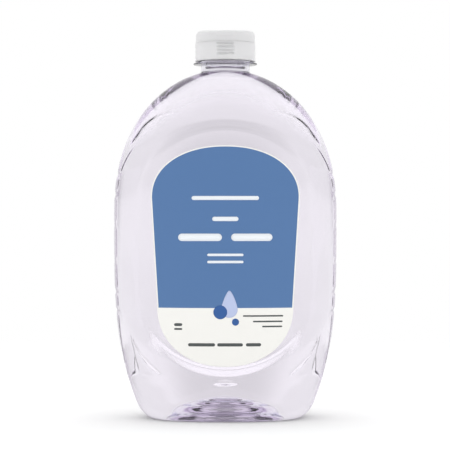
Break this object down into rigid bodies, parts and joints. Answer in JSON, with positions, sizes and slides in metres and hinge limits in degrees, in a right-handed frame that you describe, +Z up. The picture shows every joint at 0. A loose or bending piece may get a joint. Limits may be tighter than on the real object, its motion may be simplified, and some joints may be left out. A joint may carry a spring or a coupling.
{
  "type": "hand soap refill bottle with flip-top closure",
  "caption": "Clear oval refill bottle of liquid hand soap, with a label on each broad face and a flip-top screw closure on a short ringed neck.",
  "frame": {"origin": "centre of the standing base, on the surface it stands on", "axes": "+Z up along the neck, +Y to the back, so that the front label and the lid's thumb edge face -Y; the broad faces lie across X"},
  "size_m": [0.1364, 0.0802, 0.2368],
  "materials": {
    "clear_bottle": "clear and glossy, with soft moulded grips and label panels",
    "soap": "clear liquid with a faint lavender tint",
    "label_film": "smooth printed film, blue above and white below",
    "foam": "matt white foam",
    "closure_plastic": "milky natural plastic, satin"
  },
  "bodies": {
    "filled_bottle": {"bottle": "clear_bottle", "liquid_soap": "soap", "front_label": "label_film", "back_label": "label_film"},
    "washer": {"sealing_washer": "foam"},
    "cap": {"closure_base": "closure_plastic"},
    "lid": {"flip_lid": "closure_plastic"}
  },
  "joints": [
    {"name": "cap_lift", "type": "slide", "parent": "filled_bottle", "child": "washer", "axis": [0, 0, 1], "range_m": [0, 0.0106]},
    {"name": "cap_turn", "type": "hinge", "parent": "washer", "child": "cap", "pos_m": [0, 0, 0.2178], "axis": [0, 0, 1], "range_deg": [0, 900]},
    {"name": "lid_hinge", "type": "hinge", "parent": "cap", "child": "lid", "pos_m": [0, 0.0192, 0.229], "axis": [-1, 0, 0], "range_deg": [0, 165]}
  ],
  "couplings": [
    {"joint": "cap_lift", "follows": "cap_turn", "m_per_rad": 0.0006737}
  ]
}
